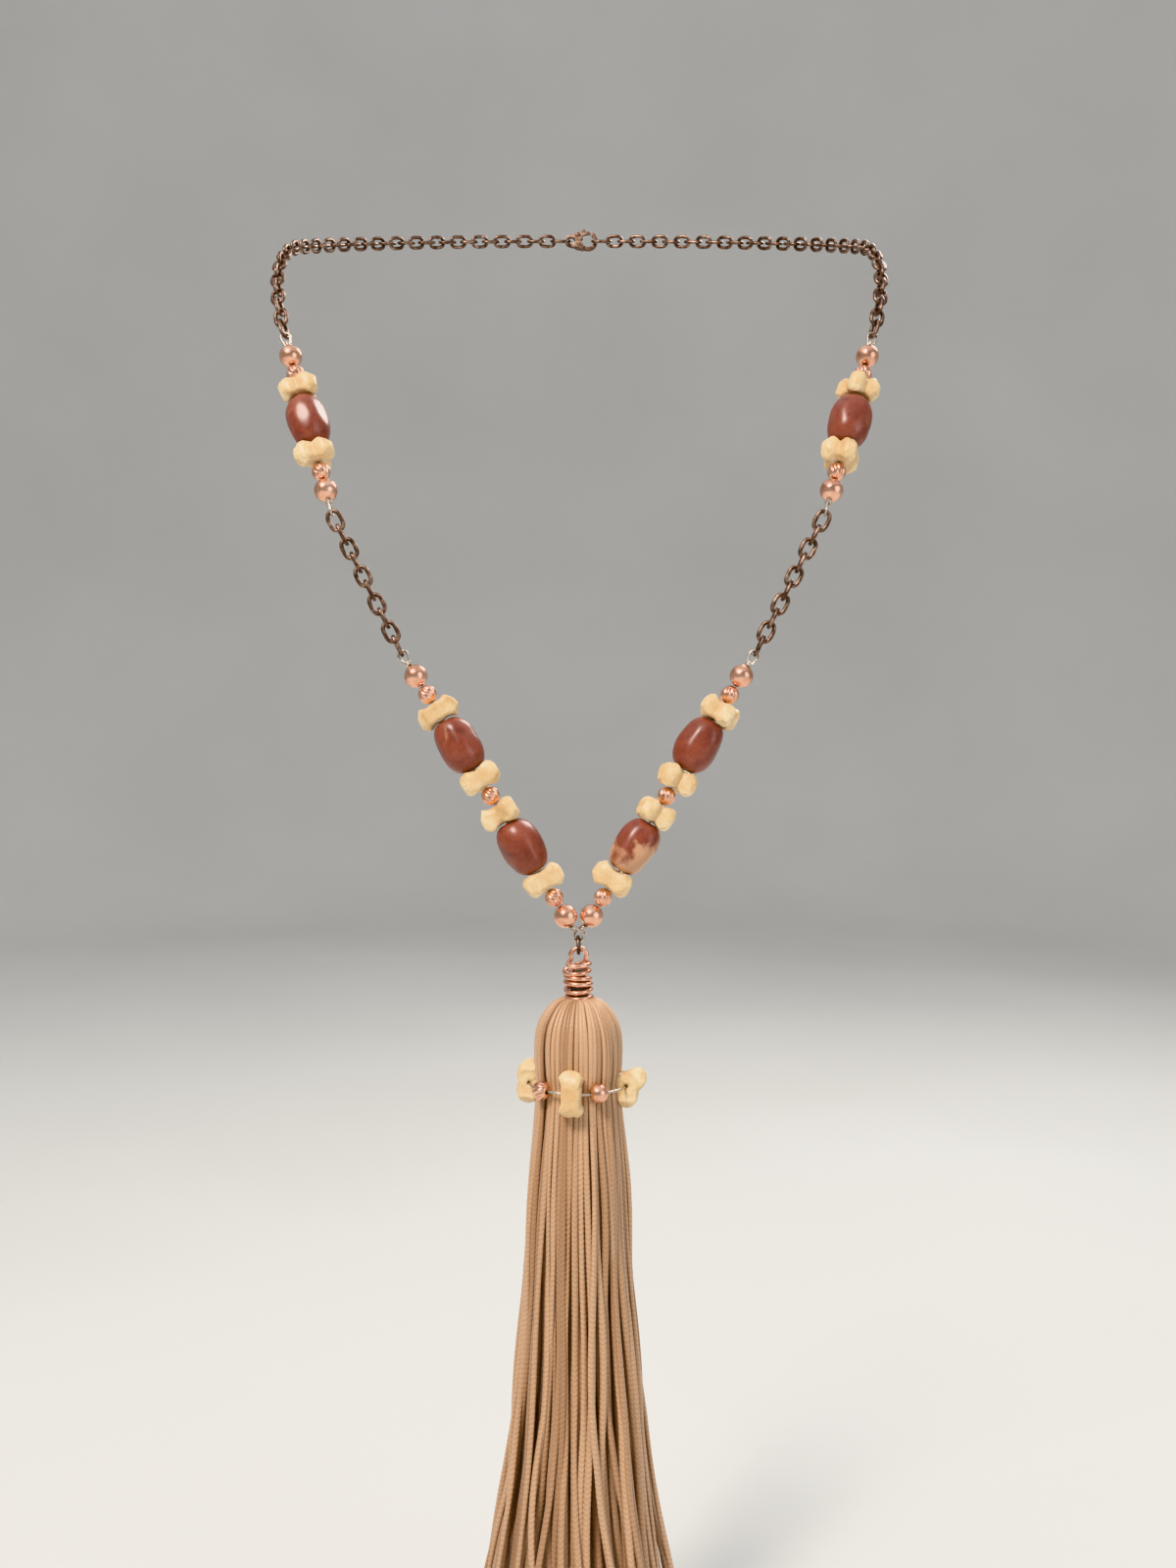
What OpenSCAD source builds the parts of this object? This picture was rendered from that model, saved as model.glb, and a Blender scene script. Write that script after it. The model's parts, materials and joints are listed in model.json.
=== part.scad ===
// Tassel necklace: a cable chain with four beaded stations that meet at a ring, and a long
// chainette tassel under it. Millimetres, +Z up, the wearer's front towards -Y. The origin is
// the middle of the neck opening, level with the chain at the top of the shoulders.

/* [Beads] */
// Diameter of the plain round copper beads
round_d = 5; // [4.6:0.1:5.2]
// Diameter of the small fluted copper beads
fluted_d = 4; // [3.6:0.1:4.2]
// Diameter of the red jasper barrels
jasper_d = 9.4; // [9:0.1:10.4]
// Length of the red jasper barrels along their bore
jasper_len = 12; // [11:0.5:12.5]
// Width across the lobes of the cream stone chips
chip_d = 9; // [8.6:0.1:9.2]
// Thickness of the cream stone chips along their bore
chip_t = 4.4; // [4.3:0.05:4.6]
// Diameter of the beading wire
wire_d = 0.6; // [0.5:0.05:0.65]

/* [Chain] */
// Length of a chain link over its outside
link_len = 5.2; // [5:0.1:5.4]
// Width of a chain link over its outside
link_w = 3.6; // [3.4:0.1:3.8]
// Thickness of the chain wire
link_wire = 0.9; // [0.8:0.05:0.95]
// Links in the short chain between the two stations of one side
front_links = 10; // [6:2:14]

/* [Drape] */
// Lean of the lower stations from the vertical, degrees
lower_lean = 32; // [29:0.5:34]
// Lean of the front chains from the vertical, degrees
chain_lean = 26.5; // [24:0.5:29]
// Outward lean of the upper stations, degrees
upper_lean = 17; // [14:0.5:20]
// Backward tilt of the upper stations, degrees
upper_tilt = 17; // [12:1:22]
// Radius of the bend over the shoulder
shoulder_r = 46; // [40:1:50]
// Rise of the chain from the shoulder to the nape, degrees
nape_rise = 24; // [18:1:28]

/* [Tassel] */
// Width of the tassel's rounded head
head_d = 19; // [17:0.5:21]
// Length from the top of the head to the hem
tassel_len = 134; // [110:1:150]
// Width of the skirt at the hem
hem_d = 50; // [40:1:54]
// Diameter of the copper wire of the hanging loop and wraps
wrap_wire = 1.1; // [1:0.05:1.2]
// Number of wire wraps round the hanging cord
wraps = 5; // [4:1:6]

/* [Hidden] */
SIDES = [["left", -1], ["right", 1]];
UPPER = ["round", "fluted", "chip", "jasper", "chip", "fluted", "round"];
LOWER = ["round", "fluted", "chip", "jasper", "chip", "fluted", "chip", "jasper", "chip",
         "fluted", "round"];

copper = [0.85, 0.55, 0.40];
dark_copper = [0.42, 0.30, 0.26];
jasper_red = [0.55, 0.20, 0.15];
cream = [0.90, 0.78, 0.55];
thread = [0.80, 0.64, 0.48];

// Fits and small sizes
round_fn = 32;
bore_r = 0.6;
band_bore_r = 0.8;
bead_gap = 0.15;
link_play = 0.1;
eye_r = 1;                // middle line of a wire eye
eye_reach = 2.7;          // from the last bead's end to the middle of the eye
eye_offset = 0.6;         // the two lower eyes sit side by side on the centre ring
ring_r = 1.7;             // middle line of the centre ring
ring_wire = 0.8;

// ---- vectors and placing ----
function unit(v) = v / norm(v);
function spin_about(v, axis, a) =
    v * cos(a) + cross(axis, v) * sin(a) + axis * (axis * v) * (1 - cos(a));

// Puts the children's +Z along t and their +X as near to x as it can be, at p
module place(p, t, x) {
    z = unit(t);
    y = unit(cross(z, x));
    xx = cross(y, z);
    multmatrix([
        [xx[0], y[0], z[0], p[0]],
        [xx[1], y[1], z[1], p[1]],
        [xx[2], y[2], z[2], p[2]],
        [0, 0, 0, 1]
    ]) children();
}

// ---- stations: beads on a straight wire with an eye at each end ----
function slot_of(kind) =
    kind == "round" ? round_d : kind == "fluted" ? fluted_d : kind == "chip" ? chip_t : jasper_len;
function stack_to(beads, n) =
    n == 0 ? 0 : stack_to(beads, n - 1) + slot_of(beads[n - 1]) + bead_gap;
// Height of a bead's middle over the lower eye's middle
function bead_at(beads, n) = eye_reach + stack_to(beads, n) + slot_of(beads[n]) / 2;
function station_len(beads) = 2 * eye_reach + stack_to(beads, len(beads)) - bead_gap;

// ---- the line of one side, from the centre ring up, before the origin is set ----
link_pitch = link_len - 2 * link_wire - link_play;
eye_hook = eye_r - wire_d / 2 - link_play / 2;   // from an eye's middle to its joint
lower_len = station_len(LOWER);
upper_len = station_len(UPPER);

function low_eye(s) = [0, s * eye_offset, 0];
function dir_lower(s) = unit([s * sin(lower_lean), -s * eye_offset / lower_len, cos(lower_lean)]);
function dir_chain(s) = [s * sin(chain_lean), 0, cos(chain_lean)];
function dir_upper(s) = unit([s * tan(upper_lean), tan(upper_tilt), 1]);
function joint_1(s) = low_eye(s) + dir_lower(s) * (lower_len + eye_hook);
function joint_2(s) = joint_1(s) + dir_chain(s) * front_links * link_pitch;
function upper_eye(s) = joint_2(s) + dir_upper(s) * eye_hook;
function joint_3(s) = upper_eye(s) + dir_upper(s) * (upper_len + eye_hook);

// Over the shoulder the chain turns from dir_upper to dir_back, then runs round the nape
nape_turn = 8;
dir_w = [0, cos(nape_rise), sin(nape_rise)];
function dir_back(s) = [-s * sin(nape_turn), 0, 0] + dir_w * cos(nape_turn);
shoulder_angle = acos(dir_upper(1) * dir_back(1));
shoulder_len = shoulder_r * shoulder_angle * PI / 180;
shoulder_top =
    joint_3(1) + (dir_upper(1) + dir_back(1)) * shoulder_r * tan(shoulder_angle / 2);
origin = [0, shoulder_top[1], shoulder_top[2]];
nape_r = shoulder_top[0] / cos(nape_turn);
nape_mid = origin - dir_w * nape_r * sin(nape_turn);
nape_len = nape_r * (90 - nape_turn) * PI / 180;
side_len = shoulder_len + nape_len;

// A point on the back chain's line, d along it from joint_3, and the direction there
function on_shoulder(s, d) =
    let (a = d / shoulder_r * 180 / PI, t = dir_upper(s),
         n = unit(dir_back(s) - t * (t * dir_back(s))))
    joint_3(s) + t * shoulder_r * sin(a) + n * shoulder_r * (1 - cos(a));
function on_nape(s, d) =
    let (a = nape_turn + d / nape_r * 180 / PI)
    nape_mid + [s * nape_r * cos(a), 0, 0] + dir_w * nape_r * sin(a);
function back_at(s, d) = d < shoulder_len ? on_shoulder(s, d) : on_nape(s, d - shoulder_len);

// The clasp's row at the nape, from the last link of the left to the last link of the right
jump_r = 2.6;
jump_wire = 0.8;
clasp_span = 7.4;         // from the joint in the clasp's eye to the joint in its hook
jump_pitch = 2 * jump_r - jump_wire - link_play;
clasp_row = 2 * jump_pitch + clasp_span;
back_len = side_len - clasp_row / 2;
// An odd number of links, so that the last one stands upright against the neck
back_links = 2 * ceil((back_len / link_pitch - 1) / 2) + 1;
back_pitch = back_len / back_links;
nape_n = unit(cross([1, 0, 0], dir_w));
function nape_row(d) = back_at(-1, back_len + d) - origin;
function row_dir(d) = unit(nape_row(d + 0.1) - nape_row(d - 0.1));

// ---- chain ----
module link() {
    straight = link_len - link_w;
    bend_r = (link_w - link_wire) / 2;
    for (end = [0, 1]) {
        mirror([0, 0, end]) translate([0, 0, straight / 2]) rotate([90, 0, 0])
            rotate_extrude(angle = 180, $fn = round_fn)
                translate([bend_r, 0]) circle(d = link_wire, $fn = round_fn);
        translate([end ? bend_r : -bend_r, 0, 0])
            cylinder(d = link_wire, h = straight, center = true, $fn = round_fn);
    }
}

module front_chain(s) {
    t = dir_chain(s);
    color(dark_copper) for (i = [0 : front_links - 1])
        place(joint_1(s) + t * link_pitch * (i + 0.5) - origin, t, i % 2 ? [1, 0, 0] : [0, 1, 0])
            link();
}

// Links over the shoulder lie across the bend's plane and in it by turns, and twist evenly so
// that they meet the run round the nape square
module back_chain(s) {
    bend_n = unit(cross(dir_upper(s), dir_back(s)));
    bend_links = floor(shoulder_len / back_pitch);
    off = acos(bend_n * nape_n) - 90;
    color(dark_copper) for (i = [0 : back_links - 1]) {
        a = back_at(s, i * back_pitch);
        b = back_at(s, (i + 1) * back_pitch);
        t = unit(b - a);
        over = i < bend_links;
        twist = over ? off * (i + 0.5) / bend_links : 0;
        flat = over ? spin_about(bend_n, t, twist) : cross(t, nape_n);
        place((a + b) / 2 - origin, t, i % 2 ? flat : cross(t, flat)) link();
    }
}

// ---- beads, each on the Z axis ----
module bore(r = bore_r) { cylinder(r = r, h = 2 * jasper_len, center = true, $fn = round_fn); }

module round_bead(d) {
    color(copper) difference() { sphere(d = d, $fn = 48); bore(); }
}

module jasper() {
    steps = 7;
    end_r = jasper_d / 4;
    fullness = 2.5;                  // higher is squarer towards the ends
    roundness = 0.6;
    side = [for (i = [-steps : steps])
        let (f = i / steps, bulge = pow(1 - pow(abs(f), fullness), roundness))
        [end_r + (jasper_d / 2 - end_r) * bulge, f * jasper_len / 2]];
    color(jasper_red) difference() {
        rotate_extrude($fn = 48)
            polygon(concat([[0, -jasper_len / 2]], side, [[0, jasper_len / 2]]));
        bore();
    }
}

module chip(lobes, r = bore_r) {
    lobe_r = chip_t / 2 - 0.05;
    hub_r = chip_d * 0.3;
    hub_t = chip_t * 0.8;
    color(cream) difference() {
        union() {
            cylinder(r = hub_r, h = hub_t, center = true, $fn = round_fn);
            for (i = [0 : lobes - 1]) rotate(i * 360 / lobes)
                translate([chip_d / 2 - lobe_r, 0, 0]) sphere(r = lobe_r, $fn = 36);
        }
        bore(r);
    }
}

module eye() {
    rotate([90, 0, 0]) rotate_extrude($fn = round_fn) translate([eye_r, 0])
        circle(d = wire_d, $fn = round_fn);
}

// A straight wire up the Z axis with an eye in the XZ plane at each end. The lower eye can be
// turned, to stand across the link that hangs from it
module station_wire(beads, low_turn = 0) {
    n = station_len(beads);
    color(copper) {
        translate([0, 0, eye_r]) cylinder(d = wire_d, h = n - 2 * eye_r, $fn = round_fn);
        rotate(low_turn) eye();
        translate([0, 0, n]) eye();
    }
}

module on_lower(s) { place(low_eye(s) - origin, dir_lower(s), [1, 0, 0]) children(); }
module on_upper(s) { place(upper_eye(s) - origin, dir_upper(s), [1, 0, 0]) children(); }

// The beads number k from each end of a station
module pair(beads, k) {
    for (n = [k, len(beads) - 1 - k]) translate([0, 0, bead_at(beads, n)])
        round_bead(slot_of(beads[n]));
}

// The n-th bead of a kind in a station, from below
module stone(beads, kind, n) {
    all = [for (i = [0 : len(beads) - 1]) if (beads[i] == kind) i];
    translate([0, 0, bead_at(beads, all[n - 1])]) rotate(n * 70)
        if (kind == "jasper") jasper(); else chip(n % 2 ? 4 : 3);
}

// ---- the ring and the tassel; the eyes of the lower stations meet at z = 0 ----
// The ring hangs low enough to clear both eyes, which sit to either side of its top
ring_room = ring_r - ring_wire / 2 - wire_d / 2 - link_play / 2;
ring_mid = -eye_r - sqrt(pow(ring_room, 2) - pow(eye_offset, 2));
tassel_joint = ring_mid - ring_r + ring_wire / 2;
loop_top = tassel_joint + link_play / 2 + wrap_wire / 2;   // middle of the loop's wire
loop_half = 1.75;
loop_z = loop_top - loop_half;
loop_drop = 3.3;                 // from the loop's top down to the first wrap
wrap_top = loop_top - loop_drop;
wrap_r = 2.6;
wrap_pitch = 1.6;
cord_r = wrap_r - wrap_wire / 2 - 0.15;
wire_in = 0.9;                   // where the wire's end goes down into the cord, and how far
wire_sunk = 3;
cord_drop = 1;                   // the cord ends this far under the first wrap's start
cord_knot = 6;                   // how far the cord runs into the head
head_under = 0.7;                // the head starts this many wraps below the last one's start
head_top = wrap_top - wrap_pitch * (wraps + head_under);
head_r = head_d / 2;
shoulder = 9.4;                  // depth of the head's dome down to its full width
band_drop = 16.2;                // from the head's top down to the band of beads
band_z = head_top - band_drop;
band_r = 10.3;
groove_r = chip_d / 2 + 0.15;    // the band of beads sits in a groove round the strands
head_end = band_z - 7;           // the bound part of the strands ends under the band
skirt_gap = 0.3;
skirt_r = head_r + 1.2;          // the loose strands stand a little wider than the head
sway_z = head_end - skirt_gap - skirt_r;  // the skirt sways about the middle of its round top
hem_z = head_top - tassel_len;

module centre_ring() {
    color(dark_copper) translate([0, 0, ring_mid]) rotate([0, 90, 0])
        rotate_extrude($fn = 48) translate([ring_r, 0]) circle(d = ring_wire, $fn = round_fn);
}

// Sweeps a round section along a list of points
module sweep(path, d, sides = 10) {
    n = len(path);
    rings = [for (i = [0 : n - 1])
        let (t = unit(path[min(i + 1, n - 1)] - path[max(i - 1, 0)]),
             x = unit(cross([0.05, 1, 0.1], t)), y = cross(t, x))
        for (j = [0 : sides - 1])
            let (a = 360 * j / sides) path[i] + (x * cos(a) + y * sin(a)) * d / 2];
    faces = concat(
        [[for (j = [0 : sides - 1]) j]],
        [for (i = [0 : n - 2]) for (j = [0 : sides - 1])
            let (k = (j + 1) % sides)
            [i * sides + j, (i + 1) * sides + j, (i + 1) * sides + k, i * sides + k]],
        [[for (j = [sides - 1 : -1 : 0]) (n - 1) * sides + j]]
    );
    polyhedron(rings, faces, convexity = 10);
}

// One copper wire: out of the cord, round the open loop, down again, then the wraps
module tassel_wire() {
    turn = 20;                       // points a turn
    loop = [for (a = [-30 : 20 : 210])
        [loop_half * cos(a), 0, loop_z + loop_half * sin(a)]];
    coil = [for (i = [0 : wraps * turn])
        [-wrap_r * cos(360 * i / turn), wrap_r * sin(360 * i / turn),
         wrap_top - wrap_pitch * (0.5 + i / turn)]];
    path = concat([[wire_in, 0, wrap_top - wire_sunk], [wire_in, 0, wrap_top - 0.5]], loop,
                  [[-1.9, -0.6, wrap_top + 0.1], [-2.4, -0.7, wrap_top - 0.4]], coil);
    color(copper) sweep(path, wrap_wire);
}

module hanging_cord() {
    wire_hole = wrap_wire / 2 + 0.2;
    color(thread) difference() {
        translate([0, 0, head_top - cord_knot])
            cylinder(r = cord_r, h = wrap_top - cord_drop - head_top + cord_knot, $fn = round_fn);
        translate([wire_in, 0, wrap_top - wire_sunk - 0.5])
            cylinder(r = wire_hole, h = wire_sunk + 1, $fn = round_fn);
    }
}

module revolve(profile) {
    rotate_extrude($fn = 64)
        polygon(concat([[0, profile[0][1]]], profile, [[0, profile[len(profile) - 1][1]]]));
}

// The strands folded over the cord: a dome, then straight down through the band
module tassel_head() {
    dome = [for (a = [6 : 12 : 90])
        [head_r * pow(sin(a), 0.8), head_top - 0.2 - shoulder * (1 - cos(a))]];
    color(thread) difference() {
        revolve(concat(dome, [[head_r, head_top - shoulder - 0.2], [head_r, head_end]]));
        translate([0, 0, head_top - cord_knot - 0.2])
            cylinder(r = cord_r + 0.1, h = cord_knot + 1, $fn = round_fn);
        translate([0, 0, band_z]) rotate_extrude($fn = 64)
            translate([band_r, 0]) circle(r = groove_r, $fn = 48);
    }
}

// The loose strands under the band, with a round top so that they can sway
module tassel_skirt() {
    steps = 10;
    top = [for (a = [0 : 10 : 80]) [skirt_r * sin(a), sway_z + skirt_r * cos(a)]];
    flare = [for (i = [0 : steps])
        let (f = i / steps)
        [skirt_r + (hem_d / 2 - skirt_r) * (0.35 * f + 0.65 * pow(f, 4)),
         sway_z + (hem_z - sway_z) * f]];
    color(thread) revolve(concat(top, flare));
}

// ---- the beaded band round the tassel's neck ----
CHIP_TURNS = [-100, -8, 82, 172];
BEAD_TURNS = [-48, 24, 128, 216];

module band_wire() {
    color(copper) translate([0, 0, band_z]) rotate_extrude($fn = 64)
        translate([band_r, 0]) circle(d = wire_d, $fn = round_fn);
}

module on_band(turn) {
    translate([0, 0, band_z]) rotate(turn) translate([0, -band_r, 0]) rotate([0, 90, 0])
        children();
}

module band_chip(n) { on_band(CHIP_TURNS[n - 1]) rotate(45) chip(4, band_bore_r); }
module band_bead(n) { on_band(BEAD_TURNS[n - 1]) round_bead(fluted_d); }

// ---- clasp, drawn in the XZ plane with its row along +Z ----
clasp_t = 1.1;
cheek_t = 2.4;
cheek_z = [2, 4.5];
eye_hole = 0.95;
eye_rim = 0.8;
hook_hole = 1.75;
hook_rim = 1;
clasp_eye_z = eye_hole - link_play / 2;
hook_z = clasp_span + link_play / 2 - hook_hole;
pivot = [1.45, 2.75];
lever_t = 0.8;
lever_slot = 1;
rivet_d = 0.66;

module jump_ring(d) {
    color(dark_copper) place(nape_row(d), nape_n, row_dir(d)) rotate_extrude($fn = 48)
        translate([jump_r, 0]) circle(d = jump_wire, $fn = round_fn);
}

module at_clasp() {
    place(nape_row(jump_pitch), nape_row(jump_pitch + clasp_span) - nape_row(jump_pitch),
          [0, 0, 1]) children();
}

module plate(t) { rotate([90, 0, 0]) linear_extrude(t, center = true) children(); }
module across(r, at) {
    translate([at[0], 0, at[1]]) rotate([90, 0, 0])
        cylinder(r = r, h = 2 * cheek_t, center = true, $fn = round_fn);
}

module clasp_outline() {
    hook_r = hook_hole + hook_rim;
    eye_side = eye_hole + eye_rim;
    translate([0, clasp_eye_z]) circle(r = eye_side, $fn = 48);
    translate([0, hook_z]) circle(r = hook_r, $fn = 48);
    polygon([[-eye_side, clasp_eye_z], [eye_side, clasp_eye_z], [hook_r, hook_z],
             [-hook_r, hook_z]]);
}

module clasp_body() {
    gate = [1.1, 3.3, 3.4];          // left side, lower end and height of the hook's mouth
    color(dark_copper) difference() {
        union() {
            plate(clasp_t) clasp_outline();
            plate(cheek_t) intersection() {
                clasp_outline();
                translate([-3, cheek_z[0]]) square([6, cheek_z[1] - cheek_z[0]]);
            }
        }
        across(eye_hole, [0, clasp_eye_z]);
        across(hook_hole, [0, hook_z]);
        across(rivet_d / 2 + 0.02, pivot);
        translate([gate[0], -cheek_t, gate[1]]) cube([3, 2 * cheek_t, gate[2]]);
        translate([-0.1, -lever_slot / 2, 1.8]) cube([4, lever_slot, 2.5]);
    }
}

module clasp_lever() {
    arm = [[0.85, 2.9], [1.95, 2.7], [2.6, 4.6], [2.65, 5.9], [2.15, 6.5], [1.75, 6.4],
           [1.85, 5.7], [1.6, 4.7], [0.95, 3.6]];
    color(dark_copper) plate(lever_t) difference() {
        union() {
            translate(pivot) circle(r = 0.7, $fn = round_fn);
            polygon(arm);
            translate([2.75, 4.4]) circle(r = 0.6, $fn = round_fn);
        }
        translate(pivot) circle(r = 0.4, $fn = round_fn);
    }
}

module clasp_rivet() {
    head = 0.2;
    color(copper) translate([pivot[0], 0, pivot[1]]) rotate([90, 0, 0]) {
        cylinder(d = rivet_d, h = cheek_t, center = true, $fn = round_fn);
        for (s = [-1, 1]) translate([0, 0, s * (cheek_t + head) / 2])
            cylinder(r = 0.5, h = head, center = true, $fn = round_fn);
    }
}

module clasp_spring() {
    color(dark_copper) plate(0.7)
        polygon([[-0.05, 1.85], [0.2, 1.85], [0.35, 3.6], [0.1, 3.6]]);
}

// ---- the nodes ----
for (side = SIDES) {
    name = side[0];
    s = side[1];
    back_chain(s);
    front_chain(s);
    on_upper(s) station_wire(UPPER, 90);
    on_upper(s) pair(UPPER, 0);
    on_upper(s) pair(UPPER, 1);
    for (n = [1, 2]) on_upper(s) stone(UPPER, "chip", n);
    on_upper(s) stone(UPPER, "jasper", 1);
    on_lower(s) station_wire(LOWER);
    on_lower(s) pair(LOWER, 0);
    on_lower(s) pair(LOWER, 1);
    on_lower(s) translate([0, 0, bead_at(LOWER, 5)]) round_bead(fluted_d);
    for (n = [1 : 4]) on_lower(s) stone(LOWER, "chip", n);
    for (n = [1, 2]) on_lower(s) stone(LOWER, "jasper", n);
}
jump_ring(jump_pitch / 2);  // clasp_ring
jump_ring(jump_pitch * 1.5 + clasp_span);  // end_ring
at_clasp() clasp_body();
at_clasp() clasp_lever();
at_clasp() clasp_rivet();
at_clasp() clasp_spring();
translate(-origin) centre_ring();
translate(-origin) tassel_wire();
translate(-origin) hanging_cord();
translate(-origin) tassel_head();
translate(-origin) tassel_skirt();
translate(-origin) band_wire();
for (n = [1 : 4]) {
    translate(-origin) band_chip(n);
    translate(-origin) band_bead(n);
}
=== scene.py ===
"""Looks of the beaded tassel necklace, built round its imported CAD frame.

Lengths are in millimetres inside this script, in the frame of the CAD part: +Z up, the
wearer's front towards -Y. new_piece() turns them into Blender's metres.
"""

import json
import math
import random

import bmesh
import bpy
import numpy as np
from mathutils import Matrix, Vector, noise


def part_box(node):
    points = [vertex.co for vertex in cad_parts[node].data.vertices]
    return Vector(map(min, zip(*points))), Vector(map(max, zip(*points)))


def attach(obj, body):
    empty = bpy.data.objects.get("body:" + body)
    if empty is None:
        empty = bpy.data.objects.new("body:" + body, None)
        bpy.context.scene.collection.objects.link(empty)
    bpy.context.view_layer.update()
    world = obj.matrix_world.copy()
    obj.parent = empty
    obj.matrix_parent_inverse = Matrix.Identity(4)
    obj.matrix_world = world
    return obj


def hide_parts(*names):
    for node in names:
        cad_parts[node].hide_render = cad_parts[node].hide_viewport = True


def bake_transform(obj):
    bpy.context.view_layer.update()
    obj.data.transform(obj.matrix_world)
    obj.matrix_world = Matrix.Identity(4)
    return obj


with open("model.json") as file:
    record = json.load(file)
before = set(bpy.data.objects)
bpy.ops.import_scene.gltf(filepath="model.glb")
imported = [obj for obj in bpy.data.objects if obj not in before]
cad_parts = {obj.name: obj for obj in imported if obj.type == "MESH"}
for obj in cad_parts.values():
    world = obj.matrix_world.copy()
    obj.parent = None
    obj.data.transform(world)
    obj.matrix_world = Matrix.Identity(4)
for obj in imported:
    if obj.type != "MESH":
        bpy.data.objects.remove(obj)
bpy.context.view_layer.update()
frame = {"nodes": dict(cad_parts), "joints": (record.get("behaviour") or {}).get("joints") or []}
MM = 0.001
TAU = 2 * math.pi
WELD = 1e-6                 # metres; points of a CAD mesh closer than this are one point


# ---- places read from the frame ----
def node_box(name):
    """Lowest and highest corner of a CAD node."""
    low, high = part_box(name)
    return np.array(low) / MM, np.array(high) / MM


def node_middle(name):
    """Middle of a CAD node's box."""
    low, high = node_box(name)
    return (low + high) / 2


def islands(name):
    """The points of each separate solid in a CAD node."""
    bm = bmesh.new()
    bm.from_mesh(frame["nodes"][name].data)
    bmesh.ops.remove_doubles(bm, verts=bm.verts, dist=WELD)
    bm.verts.ensure_lookup_table()
    seen = set()
    found = []
    for first in bm.verts:
        if first.index in seen:
            continue
        seen.add(first.index)
        stack = [first]
        points = []
        while stack:
            v = stack.pop()
            points.append(tuple(v.co))
            for e in v.link_edges:
                other = e.other_vert(v)
                if other.index not in seen:
                    seen.add(other.index)
                    stack.append(other)
        found.append(np.array(points) / MM)
    bm.free()
    return found


def unit(v):
    """The direction of a vector."""
    v = np.asarray(v, float)
    return v / np.linalg.norm(v)


JOINTS = {j["name"]: j for j in frame["joints"]}


def spin_of(node):
    """Middle and bore direction of a bead that turns on its wire."""
    joint = JOINTS[node + "_spin"]
    return np.array(joint["pos_m"]) / MM, unit(joint["axis"])


def basis(z, x=(1, 0, 0)):
    """Rows are the X, Y and Z directions of a frame whose Z is z and whose X is near x."""
    z = unit(z)
    y = unit(np.cross(z, x))
    return np.array([np.cross(y, z), y, z])


# ---- mesh making ----
class Shape:
    """Points and faces gathered from several closed forms, with point attributes."""

    def __init__(self):
        self.points = []
        self.faces = []
        self.marks = {}
        self.count = 0

    def add(self, points, faces, **marks):
        """Adds a form. Each mark is a name and one value per point."""
        points = np.asarray(points, float).reshape(-1, 3)
        self.faces += [[i + self.count for i in f] for f in faces]
        self.points.append(points)
        self.count += len(points)
        for key, values in marks.items():
            self.marks.setdefault(key, []).append(np.asarray(values, float).reshape(-1))
        return self


def new_piece(name, shape, material, body, replaces):
    """Makes a Blender object of a shape, attached to body unless body is None."""
    points = np.concatenate(shape.points) * MM
    mesh = bpy.data.meshes.new(name)
    mesh.from_pydata(points.tolist(), [], shape.faces)
    for key, values in shape.marks.items():
        attribute = mesh.attributes.new(key, "FLOAT", "POINT")
        attribute.data.foreach_set("value", np.concatenate(values).astype(np.float32))
    mesh.materials.append(material)
    mesh.polygons.foreach_set("use_smooth", [True] * len(mesh.polygons))
    mesh.update()
    piece = bpy.data.objects.new(name, mesh)
    bpy.context.scene.collection.objects.link(piece)
    if body:
        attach(piece, body)
    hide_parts(*replaces)
    return piece


def grid_faces(rows, columns, close_rows=False):
    """Quads of a grid of points whose columns wrap round."""
    faces = []
    for i in range(rows if close_rows else rows - 1):
        a, b = i * columns, (i + 1) % rows * columns
        for j in range(columns):
            k = (j + 1) % columns
            faces.append((a + j, a + k, b + k, b + j))
    return faces


def capped(rows, columns):
    """The faces of an open tube, with a flat cap at each end."""
    last = (rows - 1) * columns
    ends = [tuple(range(columns - 1, -1, -1)), tuple(range(last, last + columns))]
    return grid_faces(rows, columns) + ends


SPAN_POINTS = 12            # points of a smooth line from one corner to the next


def rounded_path(corners, step):
    """A smooth Catmull-Rom line through corners, resampled at an even step."""
    c = np.asarray(corners, float)
    c = np.vstack([2 * c[0] - c[1], c, 2 * c[-1] - c[-2]])
    t = np.linspace(0, 1, SPAN_POINTS, endpoint=False)[:, None]
    parts = []
    for a, b, d, e in zip(c, c[1:], c[2:], c[3:]):
        parts.append(0.5 * (2 * b + (d - a) * t + (2 * a - 5 * b + 4 * d - e) * t**2
                            + (3 * b - a - 3 * d + e) * t**3))
    line = np.vstack(parts + [c[-2:-1]])
    run = np.concatenate([[0], np.cumsum(np.linalg.norm(np.diff(line, axis=0), axis=1))])
    even = np.linspace(0, run[-1], max(3, int(run[-1] / step) + 1))
    return np.column_stack([np.interp(even, run, line[:, k]) for k in range(3)])


ODD_WAY = (0.31, 0.17, 0.94)    # a direction that no wire starts along
END_TAPER = 0.6                 # a cut wire end is this share of the wire's radius


def carried_frames(path):
    """Side and normal at each point of a path, carried along with no needless twist."""
    tangents = np.gradient(path, axis=0)
    tangents /= np.linalg.norm(tangents, axis=1)[:, None]
    side = unit(np.cross(tangents[0], ODD_WAY))
    sides = []
    for t in tangents:
        side = unit(side - t * np.dot(side, t))
        sides.append(side)
    sides = np.array(sides)
    return sides, np.cross(tangents, sides)


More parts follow.
